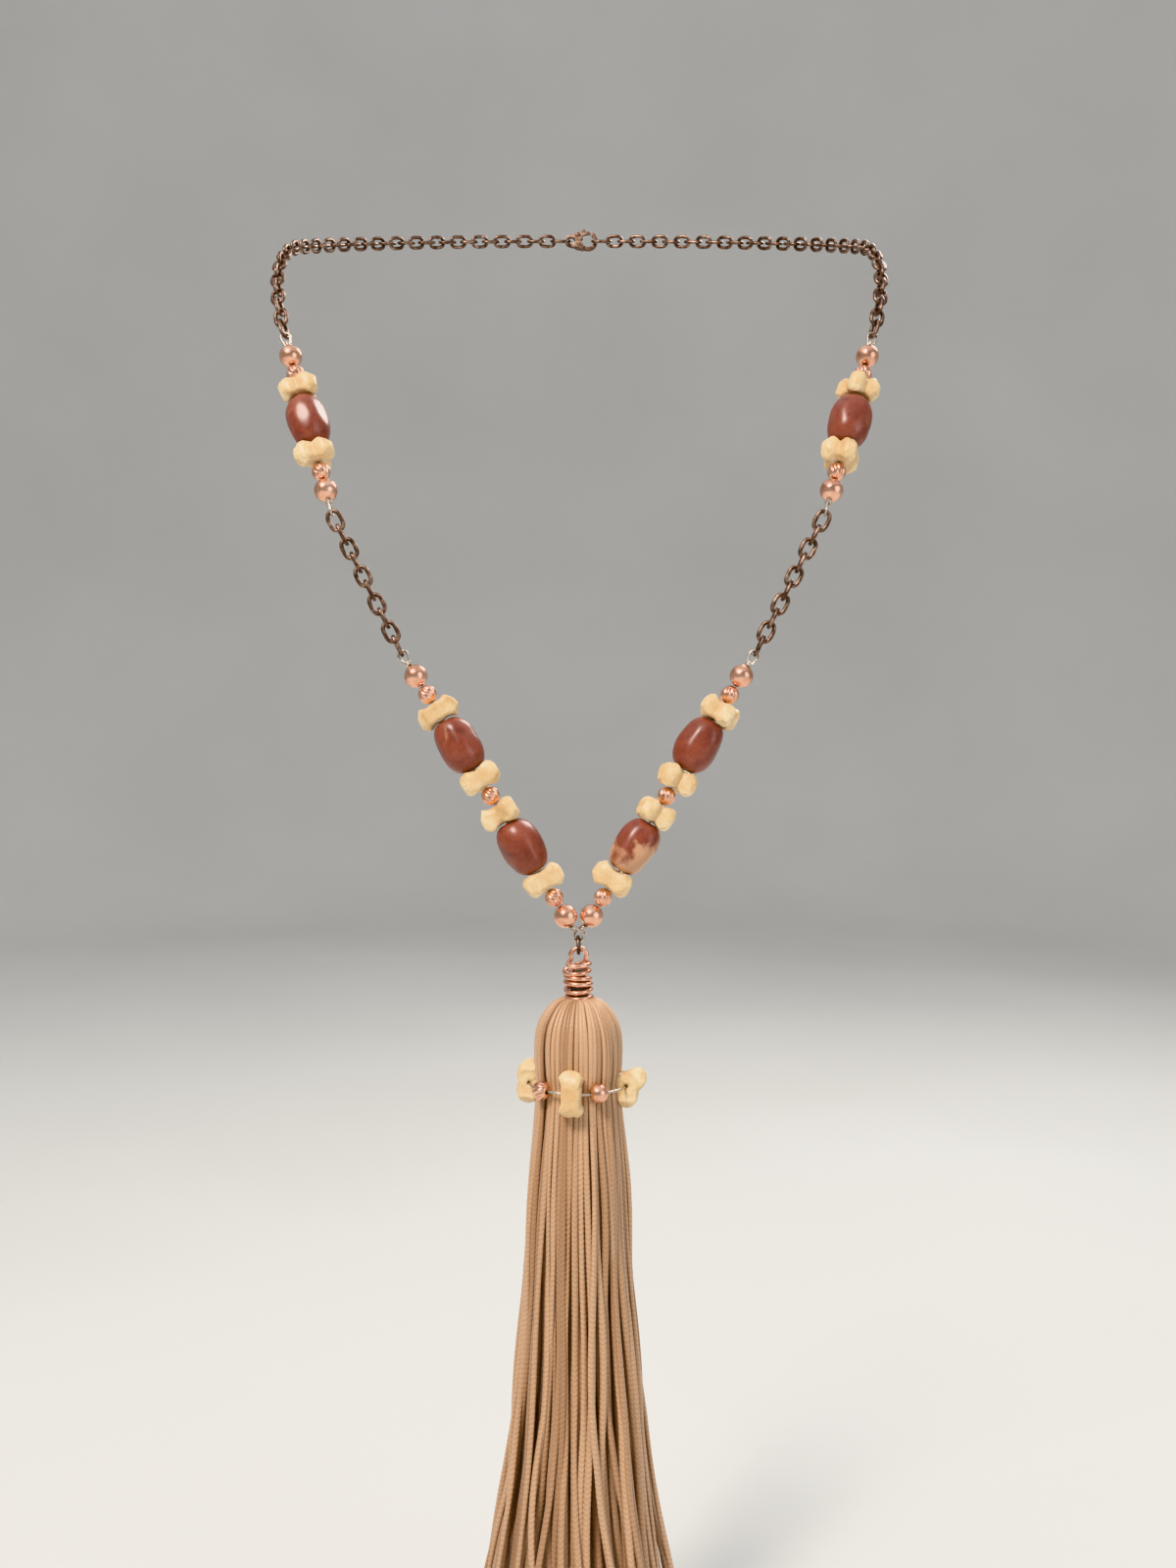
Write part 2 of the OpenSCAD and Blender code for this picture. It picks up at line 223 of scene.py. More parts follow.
def tube(shape, path, radius, sides, closed=False):
    """A round wire along path, with tapered ends unless it is closed."""
    n = len(path)
    r = np.full(n, radius, float)
    if not closed:
        r[[0, -1]] *= END_TAPER
    s, m = carried_frames(path)
    a = np.linspace(0, TAU, sides, endpoint=False)
    ring = (s[:, None, :] * np.cos(a)[None, :, None] + m[:, None, :] * np.sin(a)[None, :, None])
    points = path[:, None, :] + ring * r[:, None, None]
    faces = grid_faces(n, sides, True) if closed else capped(n, sides)
    shape.add(points, faces)
    return shape


def lathe(profile, steps, modulate=None):
    """A bored bead: a closed profile of (radius, height) turned about Z.

    modulate(angle, radius, height) returns a changed radius and height.
    """
    profile = np.asarray(profile, float)
    a = np.linspace(0, TAU, steps, endpoint=False)
    r = np.repeat(profile[None, :, 0], steps, axis=0)
    z = np.repeat(profile[None, :, 1], steps, axis=0)
    if modulate is not None:
        r, z = modulate(a[:, None], r, z)
    points = np.stack([r * np.cos(a)[:, None], r * np.sin(a)[:, None], z], axis=-1)
    return points.reshape(-1, 3), grid_faces(steps, len(profile), True)


def placed(points, middle, axis, turn=0.0):
    """Points about Z, turned and moved to a bore direction and a middle."""
    c, s = math.cos(turn), math.sin(turn)
    spun = points @ np.array([[c, s, 0], [-s, c, 0], [0, 0, 1]])
    return np.asarray(middle) + spun @ basis(axis)


def bumped(points, amount, scale, seed):
    """Small smooth dents towards and away from the middle of a bead."""
    patch = Vector((seed * 3.7, seed * 1.3, seed * 2.1))    # each seed's own part of the noise
    moved = []
    for p in points:
        v = Vector(p)
        n = noise.noise(v * scale + patch)
        moved.append(v + v.normalized() * n * amount)
    return np.array(moved)


# ---- materials ----
class Paint:
    """A node material with a few short ways to make and join nodes."""

    def __init__(self, name, **settings):
        self.material = bpy.data.materials.new(name)
        self.material.use_nodes = True
        self.tree = self.material.node_tree
        self.shader = self.tree.nodes["Principled BSDF"]
        for key, value in settings.items():
            self.shader.inputs[key.replace("_", " ")].default_value = value
        self.place = self.tree.nodes.new("ShaderNodeTexCoord").outputs["Object"]

    def put(self, socket, value):
        """Joins a node's output to a socket, or sets the socket's own value."""
        if isinstance(value, bpy.types.NodeSocket):
            self.tree.links.new(value, socket)
        else:
            socket.default_value = value

    def node(self, kind, out, inputs, **settings):
        """Makes a shader node and returns its output number or name out."""
        made = self.tree.nodes.new("ShaderNode" + kind)
        for key, value in settings.items():
            setattr(made, key, value)
        for key, value in inputs.items():
            self.put(made.inputs[key], value)
        return made.outputs[out]

    def noise(self, scale, detail, rough, distort=0.0):
        """Noise of about scale spots a metre."""
        return self.node("TexNoise", "Fac", {"Vector": self.place, "Scale": scale,
                                             "Detail": detail, "Roughness": rough,
                                             "Distortion": distort})

    def math(self, how, a, b=0.0):
        """A sum of one or two values."""
        return self.node("Math", 0, {0: a, 1: b}, operation=how)

    def ramp(self, value, *stops):
        """Turns a value into a colour, by (value, colour) stops."""
        made = self.tree.nodes.new("ShaderNodeValToRGB")
        self.put(made.inputs["Fac"], value)
        ramp = made.color_ramp
        while len(ramp.elements) < len(stops):
            ramp.elements.new(0.5)
        for element, (at, colour) in zip(ramp.elements, stops):
            element.position = at
            element.color = (*colour, 1.0)
        return made.outputs["Color"]

    def grey(self, value, low, high, start=0.0, end=1.0):
        """Maps a value from start..end onto low..high."""
        return self.node("MapRange", 0, {"Value": value, "From Min": start, "From Max": end,
                                         "To Min": low, "To Max": high})

    def mix(self, factor, a, b, how="MIX"):
        """Blends from colour a to colour b."""
        a, b = ((*c, 1.0) if isinstance(c, tuple) else c for c in (a, b))
        return self.node("Mix", 2, {0: factor, 6: a, 7: b}, data_type="RGBA", blend_type=how)

    def mark(self, name):
        """A value that a Shape carries on its points."""
        return self.node("Attribute", "Fac", {}, attribute_name=name)

    def bump(self, height, strength, distance):
        """Relief on the surface, distance metres deep."""
        normal = self.node("Bump", "Normal", {"Height": height, "Strength": strength,
                                              "Distance": distance})
        self.put(self.shader.inputs["Normal"], normal)

    def set(self, **inputs):
        """Sets the shader's sockets, by their names with _ for a space."""
        for key, value in inputs.items():
            self.put(self.shader.inputs[key.replace("_", " ")], value)


def dark_copper():
    """Antiqued copper: brown patina, warm bare metal where it is rubbed."""
    p = Paint("dark_copper", Metallic=1.0)
    rub = p.noise(900, 5, 0.6)
    fine = p.noise(5200, 3, 0.6)
    p.set(Base_Color=p.ramp(rub, (0.30, (0.070, 0.043, 0.033)), (0.48, (0.18, 0.115, 0.088)),
                            (0.62, (0.37, 0.25, 0.195)), (0.80, (0.60, 0.43, 0.34))),
          Roughness=p.grey(fine, 0.30, 0.52))
    p.bump(fine, 0.25, 0.00008)
    return p.material


def bright_copper():
    """Polished pink copper with faint tarnish and tiny dents."""
    p = Paint("bright_copper", Metallic=1.0)
    cloud = p.noise(420, 4, 0.55)
    fine = p.noise(3800, 3, 0.6)
    p.set(Base_Color=p.ramp(cloud, (0.28, (0.62, 0.32, 0.22)), (0.50, (0.86, 0.50, 0.36)),
                            (0.75, (0.95, 0.64, 0.50))),
          Roughness=p.grey(fine, 0.16, 0.32))
    p.bump(fine, 0.12, 0.00006)
    return p.material


def beading_wire():
    """Thin stranded wire with a fine twist."""
    p = Paint("beading_wire", Metallic=1.0)
    fine = p.noise(2600, 3, 0.5)
    p.set(Base_Color=p.ramp(fine, (0.30, (0.42, 0.36, 0.31)), (0.70, (0.74, 0.67, 0.60))),
          Roughness=p.grey(fine, 0.24, 0.42))
    p.bump(fine, 0.3, 0.00006)
    return p.material


def red_jasper(name, patched):
    """Polished brick-red stone, mottled, with pale mineral blooms, one of them large if patched."""
    p = Paint(name, Coat_Weight=0.30, Coat_Roughness=0.32, Specular_IOR_Level=0.45)
    broad = p.noise(230, 5, 0.6, 0.6)
    grain = p.noise(1500, 6, 0.7)
    bloom = p.noise(120, 3, 0.5, 1.2)
    body = p.ramp(broad, (0.30, (0.16, 0.038, 0.025)), (0.50, (0.25, 0.066, 0.041)),
                  (0.68, (0.29, 0.085, 0.054)), (0.85, (0.36, 0.14, 0.09)))
    speck = p.ramp(grain, (0.34, (0.66, 0.60, 0.56)), (0.56, (1.0, 1.0, 1.0)))
    red = p.mix(0.6, body, speck, "MULTIPLY")
    most, edge = (0.85, (0.46, 0.56)) if patched else (0.5, (0.66, 0.78))
    pale = p.grey(bloom, 0.0, most, *edge)
    p.set(Base_Color=p.mix(pale, red, (0.60, 0.34, 0.20)), Roughness=p.grey(grain, 0.28, 0.44))
    p.bump(grain, 0.08, 0.00012)
    return p.material


def cream_stone():
    """Tumbled cream stone with faint veins, and painted shade: warm tan in the dips between the
    lobes, paler on the lobes.
    """
    p = Paint("cream_stone", Coat_Weight=0.25, Coat_Roughness=0.25, Subsurface_Weight=0.12,
              Subsurface_Radius=(0.0012, 0.0007, 0.0004), Subsurface_Scale=1.0)
    broad = p.noise(190, 5, 0.6, 0.4)
    grain = p.noise(1700, 5, 0.65)
    vein = p.math("ABSOLUTE", p.math("SUBTRACT", p.noise(160, 3, 0.5, 1.6), 0.5))
    body = p.ramp(broad, (0.30, (0.62, 0.40, 0.19)), (0.47, (0.84, 0.63, 0.36)),
                  (0.66, (0.94, 0.80, 0.53)))
    line = p.grey(vein, 0.55, 0.0, 0.0, 0.035)
    # painted shade: the dips between a chip's lobes are mixed towards a darker tan
    hollow = p.mark("hollow")
    tan = p.mix(p.math("MULTIPLY", hollow, 0.65), body, (0.55, 0.33, 0.15))
    p.set(Base_Color=p.mix(line, tan, (0.58, 0.37, 0.18)), Roughness=p.grey(grain, 0.34, 0.55))
    p.bump(grain, 0.22, 0.00018)
    return p.material


def tassel_thread():
    """Satin chainette cord: knit loops in a herringbone, with painted shade in the dips of the
    loops, each cord its own tone.
    """
    p = Paint("tassel_thread", Sheen_Weight=0.35, Sheen_Roughness=0.4, Specular_IOR_Level=0.55,
              Anisotropic=0.35)
    along = p.mark("along")
    across = p.math("ABSOLUTE", p.mark("across"))
    phase = p.math("ADD", p.math("MULTIPLY", along, TAU / STITCH),
                   p.math("MULTIPLY", across, STITCH_SLANT))
    loop = p.grey(p.math("SINE", phase), 0.0, 1.0, -1.0, 1.0)
    fibre = p.noise(2600, 3, 0.6)
    tone = p.ramp(p.mark("tone"), (0.0, (0.40, 0.225, 0.125)), (0.5, (0.50, 0.30, 0.175)),
                  (1.0, (0.60, 0.385, 0.24)))
    knit = p.mark("knit")
    # painted shade: the dips of the knit loops are mixed towards a darker copy of the cord's tone
    shade = p.math("MULTIPLY", knit, p.grey(p.math("MULTIPLY", loop, fibre), 0.30, 0.0, 0.0, 0.45))
    dark = p.mix(1.0, tone, (0.50, 0.42, 0.36), "MULTIPLY")
    p.set(Base_Color=p.mix(shade, tone, dark), Roughness=p.grey(fibre, 0.34, 0.52))
    relief = p.math("ADD", p.math("MULTIPLY", loop, knit), p.math("MULTIPLY", fibre, 0.6))
    p.bump(relief, 0.4, 0.00012)
    return p.material


def cord_core():
    """Dark waxed cord seen between the copper wraps."""
    p = Paint("cord_core", Sheen_Weight=0.2)
    fibre = p.noise(1800, 5, 0.65)
    p.set(Base_Color=p.ramp(fibre, (0.3, (0.055, 0.045, 0.038)), (0.7, (0.20, 0.16, 0.13))),
          Roughness=p.grey(fibre, 0.55, 0.8))
    p.bump(fibre, 0.6, 0.0002)
    return p.material


def pale_wall():
    """Matt pale paper for the floor and the wall."""
    p = Paint("pale_wall", Roughness=0.9)
    p.set(Base_Color=p.ramp(p.noise(3, 2, 0.55), (0.3, (0.63, 0.625, 0.61)),
                            (0.7, (0.67, 0.665, 0.65))))
    return p.material


STITCH = 1.0                # one knit loop of the chainette
STITCH_SLANT = 3.0          # how far a loop trails behind at the cord's edges, radians
DARK = dark_copper()
COPPER = bright_copper()
WIRE = beading_wire()
JASPER = red_jasper("red_jasper", False)
JASPER_PALE = red_jasper("red_jasper_pale", True)
CREAM = cream_stone()
THREAD = tassel_thread()
CORE = cord_core()


# ---- chains ----
SEAM_SWELL = 0.10           # share by which a link is thicker at its soldered seam
SEAM_AT, SEAM_WIDE = 1.45, 0.10     # the seam's place and width, radians round the link
LINK_FLAT = 0.94            # thickness of a link's wire over its width


def link_form(length, width, wire):
    """One oval cable link in its XZ plane, a little flattened, with a soldered seam."""
    around, sides = 40, 12
    bend = (width - wire) / 2
    straight = (length - width) / 2
    a = np.linspace(0, TAU, around, endpoint=False)
    rise = bend * np.cos(a) + straight * np.tanh(3 * np.cos(a))
    middle = np.stack([bend * np.sin(a), 0 * a, rise], axis=-1)
    out = np.stack([np.sin(a), 0 * a, np.cos(a)], axis=-1)
    b = np.linspace(0, TAU, sides, endpoint=False)
    swell = 1 + SEAM_SWELL * np.exp(-((a - SEAM_AT) / SEAM_WIDE) ** 2)
    ring = (out[:, None, :] * (np.cos(b) * wire / 2)[None, :, None]
            - np.array([0, 1, 0]) * (np.sin(b) * wire / 2 * LINK_FLAT)[None, :, None])
    points = middle[:, None, :] + ring * swell[:, None, None]
    return points.reshape(-1, 3), grid_faces(around, sides, True)


def make_chain(name, body):
    """Finer links, each laid exactly where a link of the CAD chain lies."""
    shape = Shape()
    for points in islands(name):
        middle = points.mean(axis=0)
        offset = points - middle
        along, across, flat = np.linalg.svd(offset, full_matrices=False)[2]
        if np.dot(np.cross(across, flat), along) < 0:
            flat = -flat
        length = np.ptp(offset @ along)
        width = np.ptp(offset @ across)
        wire = np.ptp(offset @ flat)
        form, faces = link_form(length, width, wire)
        shape.add(middle + form @ np.array([across, flat, along]), faces)
    new_piece(name + "_links", shape, DARK, body, [name])


# ---- beads ----
SMALL_BORE = 0.5            # radius of a copper bead's bore
RIM = 0.12                  # how far its rim is eased
FLUTES, FLUTE_DEPTH = 10, 0.15      # depth as a share of the bead's radius
FLUTE_SLANT = 0.28          # radians that the flutes turn in a millimetre


def bead_profile(radius, bore, steps):
    """A ball with a bore whose rims are eased, as (radius, height) round a closed line."""
    first = math.asin((bore + RIM) / radius)
    a = np.linspace(first, math.pi - first, steps)
    outside = np.column_stack([radius * np.sin(a), radius * np.cos(a)])
    top = outside[0][1]
    rim = [(bore + RIM / 4, top - RIM / 6), (bore, top - RIM)]
    return np.vstack([outside, [(r, -z) for r, z in rim], rim[::-1]])


def round_bead_form(radius, bore, seed):
    """A plain copper bead with the faintest dents."""
    points, faces = lathe(bead_profile(radius, bore, 22), 40)
    return bumped(points, 0.05, 0.9, seed), faces


def fluted_bead_form(radius, bore, _):
    """A small copper bead with slanted flutes, each the same."""

    def flute(a, r, z):
        lift = np.sqrt(np.clip(1 - (z / radius) ** 2, 0, 1))
        wave = np.abs(np.cos((a + z * FLUTE_SLANT) * FLUTES / 2)) ** 0.8
        outer = r > bore + 0.2
        return np.where(outer, r * (1 - FLUTE_DEPTH * lift * (1 - wave)), r), z

    return lathe(bead_profile(radius, bore, 18), FLUTES * 10, flute)


def make_small_beads(node, body, form, label, way):
    """A copper bead for each solid of a node; way() gives its bore direction at its middle."""
    shape = Shape()
    for k, points in enumerate(islands(node)):
        middle = (points.max(axis=0) + points.min(axis=0)) / 2
        size = np.ptp(points, axis=0).max() / 2
        made, faces = form(size, SMALL_BORE, k + 1)
        shape.add(placed(made, middle, way(middle)), faces)
    new_piece(label, shape, COPPER, body, [node])


def cut_flats(points, outer, flats, soft):
    """Presses softly bounded flats into a bead; a flat is a direction and its distance out."""
    for normal, reach in flats:
        over = points @ unit(normal) - reach
        pressed = 0.5 * (over + np.sqrt(over**2 + soft**2))
        points = points - np.where(outer, pressed, 0)[:, None] * unit(normal)
    return points


JASPER_LENGTH, JASPER_WIDTH = 11.8, 9.3
JASPER_END = 0.2            # radius of a jasper's end, as a share of its width
FULLNESS, ROUNDNESS = 2.2, 0.6      # powers: how late a jasper's sides turn in, and how softly
JASPER_FLATS = 6
EASE = 0.35                 # how far the rim of a jasper's bore is eased
BORE = 0.45                 # radius of a stone's bore


def jasper_form(seed):
    """A barrel bead with soft hand-cut flats, one of them to the front."""
    rng = random.Random(900 + seed)
    half, radius = JASPER_LENGTH / 2, JASPER_WIDTH / 2
    end_r = JASPER_WIDTH * JASPER_END
    t = np.linspace(-1, 1, 30)
    swell = (1 - np.abs(t) ** FULLNESS) ** ROUNDNESS
    rim = np.column_stack([end_r + (radius - end_r) * swell, -t * half])
    hole = [(BORE + EASE, -half), (BORE, EASE - half), (BORE, half - EASE), (BORE + EASE, half)]
    points, faces = lathe(np.vstack([rim, hole]), 56)
    outer = np.hypot(points[:, 0], points[:, 1]) > BORE + 0.5
    flats = []
    for k in range(JASPER_FLATS):
        a = TAU * k / JASPER_FLATS - TAU / 4 + rng.uniform(-0.25, 0.25)
        lean = rng.uniform(-0.22, 0.22)
        flats.append(((math.cos(a), math.sin(a), math.tan(lean)), radius * rng.uniform(0.91, 0.96)))
    points = cut_flats(points, outer, flats, 0.5)
    points[:, :2] *= radius / np.hypot(points[:, 0], points[:, 1]).max()
    return bumped(points, 0.12, 0.35, seed), faces


CHIP_WIDTH, CHIP_THICK = 10.1, 6.1
HUB_WIDE, HUB_THICK = 0.48, 0.67    # shares of a chip that its middle takes up
LOBE_RISE = 0.33            # share of its thickness that its lobes rise by
RISE_FROM, RISE_OVER = 2.2, 1.2     # radius where the lobes start to rise, and how far they take
LOBE_SHARP = {2: 2.4, 3: 3.6, 4: 5.2}   # the more lobes, the narrower each


def chip_form(lobes, seed):
    """A tumbled nugget: bored at its waist, with chunky bevelled lobes round it."""
    rng = random.Random(40 + seed)
    around, across = 84, 30
    a = np.linspace(0, TAU, around, endpoint=False)
    swell = np.zeros(around)
    shift = np.zeros(around)
    flats = []
    for k in range(lobes):
        at = TAU * (k + rng.uniform(-0.09, 0.09)) / lobes
        size, up = rng.uniform(0.88, 1.0), rng.uniform(-0.2, 0.2)
        bell = size * np.exp(LOBE_SHARP[lobes] * (np.cos(a - at) - 1))
        swell = np.maximum(swell, bell)
        shift += up * bell
        for bevel in (-1, 1):
            flats.append(((math.cos(at), math.sin(at), bevel * rng.uniform(0.7, 1.3)),
                          CHIP_WIDTH * rng.uniform(0.385, 0.43)))
    reach = CHIP_WIDTH / 2 * (HUB_WIDE + (1 - HUB_WIDE) * swell)
    t = np.linspace(0, math.pi, across)
    r = BORE + (reach[:, None] - BORE) * np.sin(t)[None, :] ** 0.6
    rise = LOBE_RISE * swell[:, None] * np.clip((r - RISE_FROM) / RISE_OVER, 0, 1)
    height = CHIP_THICK / 2 * (HUB_THICK + rise)
    z = height * np.sign(np.cos(t)) * np.abs(np.cos(t))[None, :] ** 0.5
    z = z + shift[:, None] * np.clip(r / reach[:, None], 0, 1)
    points = np.stack([r * np.cos(a)[:, None], r * np.sin(a)[:, None], z], axis=-1).reshape(-1, 3)
    # painted shade mask: strongest at the rim in the dips between the lobes
    hollow = ((1 - swell)[:, None] * np.sin(t)[None, :] ** 0.5).reshape(-1)
    outer = np.hypot(points[:, 0], points[:, 1]) > BORE + 0.6
    points = cut_flats(points, outer, flats, 0.25)
    points = bumped(bumped(points, 0.30, 0.5, seed), 0.09, 1.4, seed + 7)
    return points, grid_faces(around, across, True), np.clip(hollow, 0, 1)


LOBES = {"lower_left_chip_4": 2, "lower_left_chip_3": 3, "lower_left_chip_2": 3,
         "lower_left_chip_1": 3, "lower_right_chip_4": 4, "lower_right_chip_3": 4,
         "lower_right_chip_2": 4, "lower_right_chip_1": 3, "upper_left_chip_2": 3,
         "upper_left_chip_1": 3, "upper_right_chip_2": 4, "upper_right_chip_1": 4}
FACE = {2: 0.0, 3: -0.52, 4: 0.79}      # turns a notch between two lobes to the front
CHIP_STRAY, JASPER_STRAY = 0.35, 0.2    # the most that a stone is turned away from that


def make_stones():
    """The chips and jaspers that turn on the wires of the stations."""
    seed = 0
    for side in ("left", "right"):
        for part, chips, barrels in (("lower", 4, 2), ("upper", 2, 1)):
            for n in range(1, chips + 1):
                seed += 1
                node = f"{part}_{side}_chip_{n}"
                middle, axis = spin_of(node)
                form, faces, hollow = chip_form(LOBES[node], seed)
                turn = FACE[LOBES[node]] + CHIP_STRAY * math.sin(seed * 2.3)
                shape = Shape().add(placed(form, middle, axis, turn), faces, hollow=hollow)
                new_piece(node + "_stone", shape, CREAM, node, [node])
            for n in range(1, barrels + 1):
                seed += 1
                node = f"{part}_{side}_jasper_{n}"
                middle, axis = spin_of(node)
                form, faces = jasper_form(seed)
                turn = JASPER_STRAY * math.sin(seed)
                shape = Shape().add(placed(form, middle, axis, turn), faces)
                paint = JASPER_PALE if node == "lower_right_jasper_1" else JASPER
                new_piece(node + "_stone", shape, paint, node, [node])


# ---- wires of the stations ----
WIRE_R = 0.27
EYE_R = 1.03                # centre of the eye to the middle of its wire
EYE_OUT = 1.3               # centre of the eye to the outside of the CAD eye
LEG = 3.6                   # centre of the eye to where its legs enter the bore
EYE_LAP = 0.1               # half the sideways step of the wire round the eye
NECK = (0.62, 0.2, -1.9)    # where the wire leaves the eye
FOOT = (0.16, 0.2, -LEG)    # where it enters the bore
WRAP_TURNS, WRAP_R = 2.2, 0.5
WRAP_TOP, WRAP_END = -1.75, -2.6    # where the wraps under the eye start and end
OVERLAP = 1.0               # how far the straight wire reaches in between the legs


def eye_line():
    """From a bore, round an eye at the origin and back, with the bore below on -Z."""
    lean = math.asin(EYE_R / LEG)
    a = np.linspace(math.pi + lean, -lean, 30)
    lap = np.linspace(-EYE_LAP, EYE_LAP, len(a))
    ring = np.column_stack([EYE_R * np.cos(a), lap, EYE_R * np.sin(a)])
    other = (-1, -1, 1)             # turns a point on one leg into its twin on the other
    return np.vstack([np.multiply(FOOT, other), np.multiply(NECK, other), ring, NECK, FOOT])


def wrap_line():
    """A few tight turns round the legs under an eye."""
    a = np.linspace(0, TAU * WRAP_TURNS, int(WRAP_TURNS * 18))
    return np.column_stack([WRAP_R * np.cos(a), WRAP_R * np.sin(a),
                            np.linspace(WRAP_TOP, WRAP_END, len(a))])


def make_station_wire(part, side):
    """The straight wire through the beads, with a two-legged eye at each end."""
    node = f"{part}_{side}_wire"
    middle, axis = spin_of(f"{part}_{side}_jasper_1")
    points = islands(node)[0]
    run = (points - middle) @ axis
    shape = Shape()
    ends = []
    for edge, outward in ((run.min(), -axis), (run.max(), axis)):
        at = middle + axis * edge - outward * EYE_OUT
        near = points[np.abs((points - at) @ axis) < EYE_OUT * 0.8]
        normal = np.linalg.svd(near - near.mean(axis=0), full_matrices=False)[2][2]
        frame_rows = basis(outward, np.cross(normal, outward))
        tube(shape, at + rounded_path(eye_line(), 0.12) @ frame_rows, WIRE_R, 10)
        tube(shape, at + wrap_line() @ frame_rows, WIRE_R * 0.9, 8)
        ends.append(at - outward * (LEG - OVERLAP))
    tube(shape, np.linspace(ends[0], ends[1], 24), WIRE_R, 10)
    new_piece(node + "_wire", shape, WIRE, f"{part}_stations", [node])


# ---- ring, loop and wraps over the tassel ----
AXIS = node_middle("band_wire")[:2]
TOP = node_box("tassel_head")[1][2]
BAND_Z = node_middle("band_wire")[2]
HEM_Z = node_box("tassel_skirt")[0][2]
CUT_AT, CUT_GAP = 0.9, 0.06     # place and width of the centre ring's cut, radians
CUT_STEP = 0.12                 # how far to each side its ends lie


def make_centre_ring():
    """An oval jump ring with its cut ends nearly closed."""
    low, high = node_box("centre_ring")
    middle = (low + high) / 2
    wire = high[0] - low[0]
    r_y, r_z = (high[1] - low[1] - wire) / 2, (high[2] - low[2] - wire) / 2
    a = np.linspace(CUT_AT, CUT_AT + TAU - CUT_GAP, 90)
    step = np.linspace(-CUT_STEP, CUT_STEP, len(a))
    path = np.column_stack([step, r_y * np.cos(a), r_z * np.sin(a)])
    new_piece("centre_ring_loop", tube(Shape(), middle + path, wire / 2, 16), DARK,
              "centre_ring", ["centre_ring"])


COIL_WIRE_R = 0.5
LOOP_R = 1.75               # radius of the open loop's top, to the middle of its wire
LOOP_TALL = 3.3             # top of the loop to the first wrap
COIL_TURNS, TURN_POINTS = 6.6, 16
COIL_SHIFT = 0.7            # how far the last wrap is to the right of the first


def coil_point(t, radius, top, end):
    """A place on the uneven wraps, after t turns."""
    a = math.pi + 0.9 + TAU * t
    share = t / COIL_TURNS
    r = radius * (1 + 0.04 * math.sin(2.1 * t + 1.0))
    lean = 0.30 * math.cos(a - 0.6) * (1 + 0.8 * math.sin(1.7 * t))
    return (r * math.cos(a) + COIL_SHIFT * (share - 0.6), r * math.sin(a),
            top + (end - top) * share + lean + 0.12 * math.sin(4.4 * t))


def make_tassel_wire():
    """One copper wire: a loop through the ring, then uneven wraps down the cord."""
    low, high = node_box("tassel_wire")
    radius = (high[0] - low[0]) / 2 - COIL_WIRE_R
    loop_top = high[2] - COIL_WIRE_R
    top, end = loop_top - LOOP_TALL, low[2] + COIL_WIRE_R
    climb = [(0.6, 1.3, top - 3.0), (0.9, 0.7, top - 1.2), (1.55, 0.1, loop_top - 2.2)]
    crown = [(LOOP_R * math.cos(t), 0.0, loop_top - LOOP_R + LOOP_R * math.sin(t))
             for t in np.linspace(0.15, math.pi - 0.15, 9)]
    down = [(-1.6, -0.1, loop_top - 2.4), (-2.0, -0.8, top + 0.4)]
    wraps = [coil_point(k / TURN_POINTS, radius, top, end)
             for k in range(int(COIL_TURNS * TURN_POINTS))]
    corners = np.array(climb + crown + down + wraps)
    corners[:, :2] += AXIS
    coil = tube(Shape(), rounded_path(corners, 0.16), COIL_WIRE_R, 16)
    new_piece("tassel_wire_coil", coil, COPPER, "tassel", ["tassel_wire"])


CORE_STRANDS = 5
STRAND_DEPTH = 0.10         # how far the strands stand out, as a share of the cord's radius
STRAND_LAY = 0.8            # radians that they turn in a millimetre
CORE_THIN = 0.94            # keeps the strands inside the cord's CAD solid


def make_core():
    """The knotted dark cord that the wire is wrapped round."""
    low, high = node_box("hanging_cord")
    along, around = 60, 40
    z = np.linspace(low[2], high[2], along)[:, None]
    taper = np.clip(np.sin(np.linspace(1.57, 0.35, along)) + 0.25, 0, 1)
    a = np.linspace(0, TAU, around, endpoint=False)
    strand = 1 + STRAND_DEPTH * np.abs(np.sin(CORE_STRANDS / 2 * (a + z * STRAND_LAY)))
    r = (high[0] - low[0]) / 2 * taper[:, None] * strand * CORE_THIN
    points = np.stack([AXIS[0] + r * np.cos(a), AXIS[1] + r * np.sin(a), z + 0 * a], axis=-1)
    new_piece("hanging_cord_core", Shape().add(points, capped(along, around)), CORE, "tassel",
              ["hanging_cord"])


# ---- tassel ----
THREAD_W, THREAD_T = 1.55, 1.1      # a free thread's width and thickness
THREAD_TIP = 0.5            # a cut end's size, as a share of the thread's
CROWDING = 1.12             # a pressed thread's width over its even share of the round
THINNEST = 0.45             # the least width of a thread, under the wraps
PRESSED_KNIT, KNIT_OVER = 0.35, 20      # how much knit shows on the head; full this far below
STITCH_RELIEF = 0.028       # how far each stitch stands out, as a share of the thread
GROOVE_DEEP, GROOVE_WIDE = 0.10, 0.28   # the furrow down its middle, as shares
# height and radius of the outermost threads, from under the wraps to the hem
PROFILE = [(TOP + 1.6, 1.5), (TOP + 1.9, 3.2), (TOP + 1.2, 5.4), (TOP - 0.8, 7.4),
           (TOP - 3.6, 8.9), (TOP - 7.5, 9.5), (TOP - 12.5, 9.4), (BAND_Z, 9.0),
           (BAND_Z - 5.0, 9.4), (BAND_Z - 20, 10.8), (BAND_Z - 40, 11.9), (BAND_Z - 61, 13.5),
           (BAND_Z - 82, 15.9), (BAND_Z - 103, 20.2), (HEM_Z, 24.3)]


def wander(t, seed, scale):
    """Smooth noise along a thread, from about -1 to 1."""
    gain = 1.8
    row = [noise.noise(Vector((x * scale, seed * 7.31, seed * 0.77))) for x in t]
    return np.array(row) * gain


